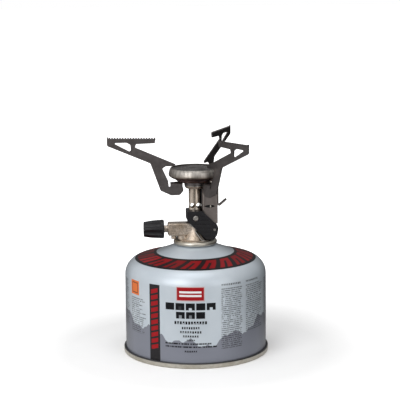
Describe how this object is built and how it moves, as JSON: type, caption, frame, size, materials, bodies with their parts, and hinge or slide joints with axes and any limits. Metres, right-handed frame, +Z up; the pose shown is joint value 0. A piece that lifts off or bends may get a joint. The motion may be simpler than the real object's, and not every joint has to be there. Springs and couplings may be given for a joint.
{
  "type": "canister stove",
  "caption": "Screw-on gas stove on a squat gas canister: round mesh burner, folding toothed pot supports, fluted control knob and a push-button piezo igniter.",
  "frame": {"origin": "on the canister's axis, in the plane the canister stands on", "axes": "+Z up along the canister's axis, +X from the control knob towards the igniter, -Y towards the front of the stove"},
  "size_m": [0.1217, 0.114, 0.1665],
  "materials": {
    "painted_steel": "semi-gloss lithographed paint",
    "tinplate": "bright tinplate",
    "valve_plastic": "moulded",
    "seal_rubber": "matt",
    "nickel_plate": "satin nickel plate on brass",
    "brass": "machined",
    "steel": "satin",
    "burner_band": "circular brushed",
    "burner_shell": "heat tinted",
    "burner_wire": "woven wire, oxidised",
    "arm_steel": "dark satin oxide",
    "shield_steel": "satin rolled sheet",
    "black_plastic": "moulded, fine texture",
    "lead_sleeve": "sleeved wire",
    "ceramic": "unglazed"
  },
  "bodies": {
    "canister": {"canister_shell": "painted_steel", "canister_base": "tinplate", "valve_cup": "tinplate", "canister_valve_body": "valve_plastic", "valve_gasket": "seal_rubber", "stem_spring": "steel"},
    "canister_stem": {"valve_stem": "valve_plastic"},
    "coupling": {"coupling_seal": "seal_rubber"},
    "stove": {"valve_body": "nickel_plate", "depressor_pin": "brass", "gas_filter": "brass", "gas_jet": "brass", "gland_nut": "nickel_plate", "lock_screw": "nickel_plate", "mixing_tube": "nickel_plate", "arm_bush": "burner_shell", "wave_washer": "steel", "burner_cup": "burner_shell", "burner_nut": "nickel_plate", "flow_diffuser": "steel", "burner_mesh": "burner_wire", "burner_ring": "burner_band", "pot_support_left": "arm_steel", "igniter_housing_front": "black_plastic", "igniter_housing_rear": "black_plastic", "igniter_screws": "steel", "igniter_pin": "steel", "igniter_bracket": "steel", "heat_shield": "shield_steel", "piezo_element": "black_plastic", "piezo_spring": "steel", "ignition_lead": "lead_sleeve", "electrode_insulator": "ceramic", "electrode": "steel"},
    "spindle_guide": {"spindle_seal": "seal_rubber"},
    "spindle": {"valve_spindle": "nickel_plate", "control_knob": "black_plastic", "knob_screw": "steel"},
    "right_arm": {"pot_support_right": "arm_steel"},
    "back_arm": {"pot_support_back": "arm_steel"},
    "trigger": {"igniter_trigger": "shield_steel", "piezo_plunger": "black_plastic"}
  },
  "joints": [
    {"name": "stove_lift", "type": "slide", "parent": "canister", "child": "coupling", "axis": [0, 0, 1], "range_m": [0, 0.00428]},
    {"name": "stove_unscrew", "type": "hinge", "parent": "coupling", "child": "stove", "pos_m": [0, 0, 0.087], "axis": [0, 0, 1], "range_deg": [0, 1700]},
    {"name": "stem_travel", "type": "slide", "parent": "canister", "child": "canister_stem", "axis": [0, 0, 1], "range_m": [0, 0.0012], "deforming": ["stem_spring"]},
    {"name": "spindle_travel", "type": "slide", "parent": "stove", "child": "spindle_guide", "axis": [-1, 0, 0], "range_m": [0, 0.00075]},
    {"name": "knob_turn", "type": "hinge", "parent": "spindle_guide", "child": "spindle", "pos_m": [-0.02, 0, 0.095], "axis": [-1, 0, 0], "range_deg": [0, 540]},
    {"name": "right_support_swivel", "type": "hinge", "parent": "stove", "child": "right_arm", "pos_m": [0, 0, 0.1312], "axis": [0, 0, 1], "range_deg": [-120, 0]},
    {"name": "back_support_swivel", "type": "hinge", "parent": "stove", "child": "back_arm", "pos_m": [0, 0, 0.1291], "axis": [0, 0, 1], "range_deg": [0, 119]},
    {"name": "trigger_press", "type": "slide", "parent": "stove", "child": "trigger", "axis": [0, 0, -1], "range_m": [0, 0.004], "stiffness_N_per_m": 150, "springref_m": -0.006, "deforming": ["piezo_spring"]}
  ],
  "couplings": [
    {"joint": "stove_unscrew", "follows": "stove_lift", "rad_per_m": 6926.4},
    {"joint": "stem_travel", "follows": "stove_lift", "ratio": 0.26869},
    {"joint": "knob_turn", "follows": "spindle_travel", "rad_per_m": 12566}
  ]
}
